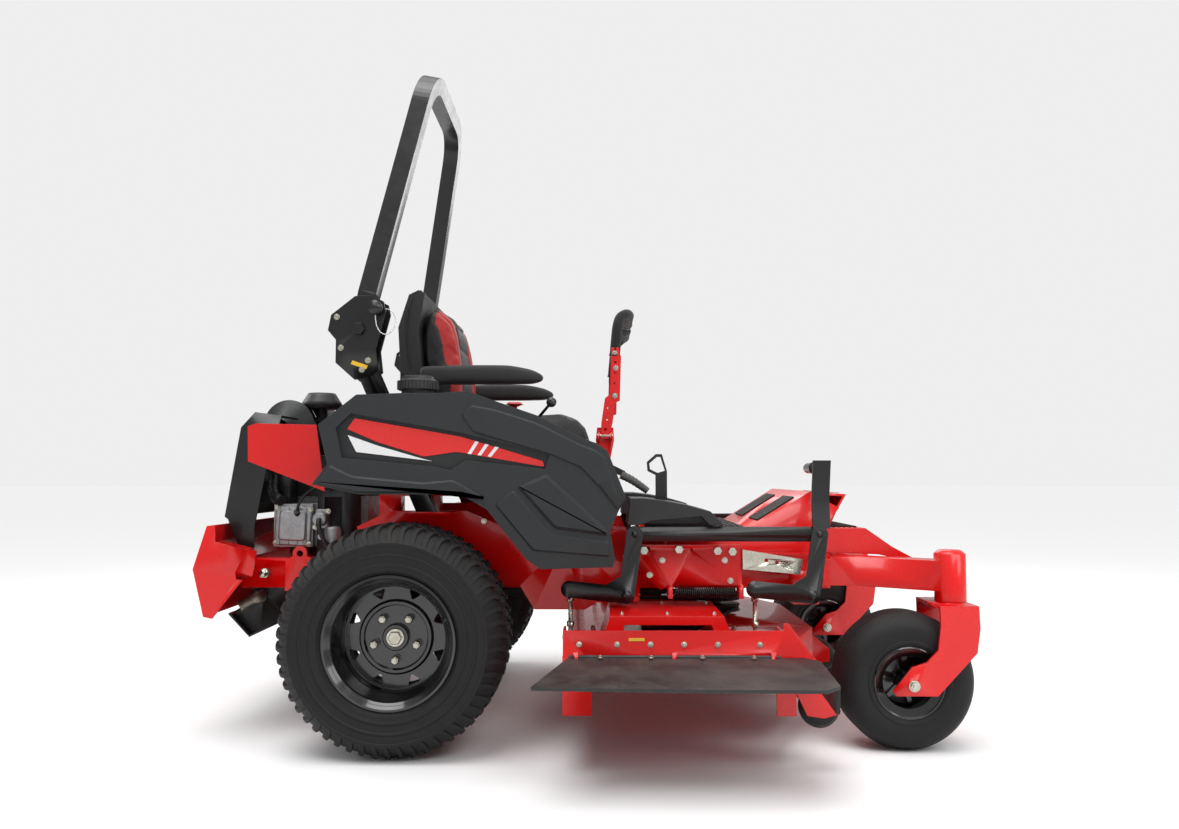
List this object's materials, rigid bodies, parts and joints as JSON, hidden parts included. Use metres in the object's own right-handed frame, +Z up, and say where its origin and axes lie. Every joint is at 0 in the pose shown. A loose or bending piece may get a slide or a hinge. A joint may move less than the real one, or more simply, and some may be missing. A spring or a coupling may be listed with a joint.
{
  "type": "zero turn mower",
  "caption": "Ride-on zero turn mower: rear drive wheels, swivelling front casters, side-discharge deck with lift pedal, lap bars, cushioned seat and folding roll bar.",
  "frame": {"origin": "on the ground under the middle of the bounding box", "axes": "+X forwards, +Y to the operator's left, +Z up"},
  "size_m": [2.049, 1.594, 1.9096],
  "materials": {
    "frame_paint": "gloss powder coat",
    "black_paint": "satin powder coat",
    "rim_paint": "gloss paint",
    "tyre_rubber": "matt",
    "tank_plastic": "fine grain",
    "cap_plastic": "fine grain",
    "seat_vinyl": "soft vinyl with red inserts",
    "foam_grip": "foam",
    "brake_grip": "ribbed",
    "engine_metal": "as cast",
    "engine_plastic": "moulded",
    "exhaust_metal": "heat stained",
    "drive_metal": "painted casting",
    "zinc": "bright zinc plate",
    "spindle_steel": "machined",
    "spring_steel": "oiled",
    "belt_rubber": "fabric faced",
    "cord_steel": "twisted wire",
    "knob_plastic": "gloss"
  },
  "bodies": {
    "chassis": {"main_frame": "frame_paint", "front_arms": "frame_paint", "rear_bumper": "frame_paint", "engine_guards": "black_paint", "muffler": "exhaust_metal", "engine_block": "engine_metal", "engine_shroud": "engine_plastic", "air_cleaner": "engine_plastic", "transaxles": "drive_metal", "fuel_tank_right": "tank_plastic", "fuel_tank_left": "tank_plastic", "front_covers": "tank_plastic", "rops_uprights": "black_paint", "foot_plate": "frame_paint", "zinc_hardware": "zinc", "lift_spring": "spring_steel", "pin_lanyard": "cord_steel"},
    "rear_wheel_right": {"rear_rim_right": "rim_paint", "rear_tyre_right": "tyre_rubber"},
    "rear_wheel_left": {"rear_rim_left": "rim_paint", "rear_tyre_left": "tyre_rubber"},
    "deck": {"deck_shell": "frame_paint", "belt_covers": "frame_paint", "deck_hangers": "zinc", "deck_belt": "belt_rubber", "engine_belt": "belt_rubber"},
    "seat_frame": {"seat_shell": "cap_plastic", "seat_cushion": "seat_vinyl", "back_cushion": "seat_vinyl"},
    "seat_slider": {"seat_base": "black_paint"},
    "fuel_cap_right": {"fuel_cap_right": "cap_plastic"},
    "fuel_cap_left": {"fuel_cap_left": "cap_plastic"},
    "caster_fork_right": {"caster_fork_right": "frame_paint"},
    "caster_fork_left": {"caster_fork_left": "frame_paint"},
    "caster_wheel_right": {"caster_wheel_right": "tyre_rubber"},
    "caster_wheel_left": {"caster_wheel_left": "tyre_rubber"},
    "rops_hoop": {"rops_hoop": "black_paint"},
    "rops_pin_right": {"rops_pin_right": "black_paint"},
    "rops_pin_left": {"rops_pin_left": "black_paint"},
    "control_arm_right": {"control_arm_right": "frame_paint"},
    "control_arm_left": {"control_arm_left": "frame_paint"},
    "lap_bar_right": {"lap_bar_right": "foam_grip"},
    "lap_bar_left": {"lap_bar_left": "foam_grip"},
    "brake_lever": {"brake_lever": "brake_grip"},
    "throttle_lever": {"throttle_lever": "cap_plastic"},
    "pto_knob": {"pto_knob": "knob_plastic"},
    "deck_lock_lever": {"deck_lock_lever": "black_paint"},
    "lift_pedal": {"lift_pedal": "black_paint"},
    "rear_lift_crank": {"rear_lift_crank": "black_paint"},
    "lift_links": {"lift_links": "black_paint"},
    "deflector": {"deflector": "belt_rubber"},
    "spindle_right": {"spindle_right": "spindle_steel"},
    "spindle_middle": {"spindle_middle": "spindle_steel"},
    "spindle_left": {"spindle_left": "spindle_steel"},
    "engine_pulley": {"engine_pulley": "spindle_steel"},
    "roller_right": {"roller_right": "cap_plastic"},
    "roller_middle": {"roller_middle": "cap_plastic"},
    "roller_left": {"roller_left": "cap_plastic"},
    "armrest_right": {"armrest_right": "foam_grip"},
    "armrest_left": {"armrest_left": "foam_grip"}
  },
  "joints": [
    {"name": "rear_wheel_spin_right", "type": "hinge", "parent": "chassis", "child": "rear_wheel_right", "pos_m": [-0.4565, -0.36951, 0.29], "axis": [0, 1, 0], "continuous": true},
    {"name": "caster_swivel_right", "type": "hinge", "parent": "chassis", "child": "caster_fork_right", "pos_m": [0.9815, -0.31801, 0.4], "axis": [0, 0, 1], "continuous": true},
    {"name": "caster_spin_right", "type": "hinge", "parent": "caster_fork_right", "child": "caster_wheel_right", "pos_m": [0.8495, -0.31801, 0.175], "axis": [0, 1, 0], "continuous": true},
    {"name": "rops_pin_pull_right", "type": "slide", "parent": "chassis", "child": "rops_pin_right", "axis": [0, -1, 0], "range_m": [0, 0.06]},
    {"name": "fuel_cap_turn_right", "type": "hinge", "parent": "chassis", "child": "fuel_cap_right", "pos_m": [-0.4205, -0.33101, 0.94], "axis": [0, 0, 1], "range_deg": [0, 120]},
    {"name": "drive_right", "type": "hinge", "parent": "chassis", "child": "control_arm_right", "pos_m": [0.0715, -0.15801, 0.59], "axis": [0, 1, 0], "range_deg": [-18, 18]},
    {"name": "lap_bar_swing_right", "type": "hinge", "parent": "control_arm_right", "child": "lap_bar_right", "pos_m": [0.0775, -0.17001, 0.812], "axis": [1, 0, 0], "range_deg": [0, 35]},
    {"name": "armrest_lift_right", "type": "hinge", "parent": "seat_frame", "child": "armrest_right", "pos_m": [-0.4285, -0.15901, 0.98], "axis": [0, -1, 0], "range_deg": [0, 90]},
    {"name": "rear_wheel_spin_left", "type": "hinge", "parent": "chassis", "child": "rear_wheel_left", "pos_m": [-0.4565, 0.63349, 0.29], "axis": [0, 1, 0], "continuous": true},
    {"name": "caster_swivel_left", "type": "hinge", "parent": "chassis", "child": "caster_fork_left", "pos_m": [0.9815, 0.58199, 0.4], "axis": [0, 0, 1], "continuous": true},
    {"name": "caster_spin_left", "type": "hinge", "parent": "caster_fork_left", "child": "caster_wheel_left", "pos_m": [0.8495, 0.58199, 0.175], "axis": [0, 1, 0], "continuous": true},
    {"name": "rops_pin_pull_left", "type": "slide", "parent": "chassis", "child": "rops_pin_left", "axis": [0, 1, 0], "range_m": [0, 0.06]},
    {"name": "fuel_cap_turn_left", "type": "hinge", "parent": "chassis", "child": "fuel_cap_left", "pos_m": [-0.4205, 0.59499, 0.94], "axis": [0, 0, 1], "range_deg": [0, 120]},
    {"name": "drive_left", "type": "hinge", "parent": "chassis", "child": "control_arm_left", "pos_m": [0.0715, 0.42199, 0.59], "axis": [0, 1, 0], "range_deg": [-18, 18]},
    {"name": "lap_bar_swing_left", "type": "hinge", "parent": "control_arm_left", "child": "lap_bar_left", "pos_m": [0.0775, 0.43399, 0.812], "axis": [-1, 0, 0], "range_deg": [0, 35]},
    {"name": "armrest_lift_left", "type": "hinge", "parent": "seat_frame", "child": "armrest_left", "pos_m": [-0.4285, 0.42299, 0.98], "axis": [0, -1, 0], "range_deg": [0, 90]},
    {"name": "rops_fold", "type": "hinge", "parent": "chassis", "child": "rops_hoop", "pos_m": [-0.5865, 0.13199, 1.095], "axis": [0, -1, 0], "range_deg": [0, 110]},
    {"name": "brake_lift", "type": "hinge", "parent": "chassis", "child": "brake_lever", "pos_m": [0.0635, -0.13001, 0.734], "axis": [0, -1, 0], "range_deg": [0, 45]},
    {"name": "throttle_move", "type": "hinge", "parent": "chassis", "child": "throttle_lever", "pos_m": [-0.1085, -0.26801, 0.852], "axis": [0, 1, 0], "range_deg": [-30, 20]},
    {"name": "pto_pull", "type": "slide", "parent": "chassis", "child": "pto_knob", "axis": [0, 0, 1], "range_m": [0, 0.012]},
    {"name": "deck_lock_move", "type": "hinge", "parent": "chassis", "child": "deck_lock_lever", "pos_m": [0.2335, -0.19801, 0.54], "axis": [0, 1, 0], "range_deg": [-7, 7]},
    {"name": "deck_lift", "type": "hinge", "parent": "chassis", "child": "lift_pedal", "pos_m": [0.6245, 0.13199, 0.384], "axis": [0, 1, 0], "range_deg": [-29, 0]},
    {"name": "rear_lift", "type": "hinge", "parent": "chassis", "child": "rear_lift_crank", "pos_m": [0.1335, 0.13199, 0.384], "axis": [0, 1, 0], "range_deg": [-29.2, 0.2]},
    {"name": "link_turn", "type": "hinge", "parent": "lift_pedal", "child": "lift_links", "pos_m": [0.6465, 0.13199, 0.545], "axis": [0, 1, 0], "range_deg": [-0.2, 29.2]},
    {"name": "deck_height", "type": "slide", "parent": "chassis", "child": "deck", "axis": [0, 0, 1], "range_m": [-0.0765, 0.0005], "deforming": ["engine_belt"]},
    {"name": "deflector_lift", "type": "hinge", "parent": "deck", "child": "deflector", "pos_m": [0.2435, -0.56001, 0.272], "axis": [-1, 0, 0], "range_deg": [0, 85]},
    {"name": "blade_spin_middle", "type": "hinge", "parent": "deck", "child": "spindle_middle", "pos_m": [0.4235, 0.13199, 0.3], "axis": [0, 0, 1], "continuous": true},
    {"name": "blade_spin_right", "type": "hinge", "parent": "deck", "child": "spindle_right", "pos_m": [0.2435, -0.29801, 0.3], "axis": [0, 0, 1], "continuous": true},
    {"name": "blade_spin_left", "type": "hinge", "parent": "deck", "child": "spindle_left", "pos_m": [0.2435, 0.56199, 0.3], "axis": [0, 0, 1], "continuous": true},
    {"name": "engine_spin", "type": "hinge", "parent": "chassis", "child": "engine_pulley", "pos_m": [-0.7565, 0.13199, 0.33], "axis": [0, 0, 1], "continuous": true},
    {"name": "roller_spin_right", "type": "hinge", "parent": "deck", "child": "roller_right", "pos_m": [0.5885, -0.50801, 0.146], "axis": [0, 1, 0], "continuous": true},
    {"name": "roller_spin_middle", "type": "hinge", "parent": "deck", "child": "roller_middle", "pos_m": [0.7335, 0.13199, 0.152], "axis": [0, 1, 0], "continuous": true},
    {"name": "roller_spin_left", "type": "hinge", "parent": "deck", "child": "roller_left", "pos_m": [0.5885, 0.75699, 0.146], "axis": [0, 1, 0], "continuous": true},
    {"name": "seat_slide", "type": "slide", "parent": "chassis", "child": "seat_slider", "axis": [1, 0, 0], "range_m": [-0.05, 0.05]},
    {"name": "seat_tilt", "type": "hinge", "parent": "seat_slider", "child": "seat_frame", "pos_m": [-0.0365, 0.13199, 0.724], "axis": [0, 1, 0], "range_deg": [0, 30]}
  ],
  "couplings": [
    {"joint": "rear_lift", "follows": "deck_lift", "ratio": 1},
    {"joint": "link_turn", "follows": "deck_lift", "ratio": -1},
    {"joint": "deck_height", "follows": "deck_lift", "m_per_rad": 0.1501},
    {"joint": "blade_spin_right", "follows": "blade_spin_middle", "ratio": 1},
    {"joint": "blade_spin_left", "follows": "blade_spin_middle", "ratio": 1},
    {"joint": "engine_spin", "follows": "blade_spin_middle", "ratio": 1}
  ]
}
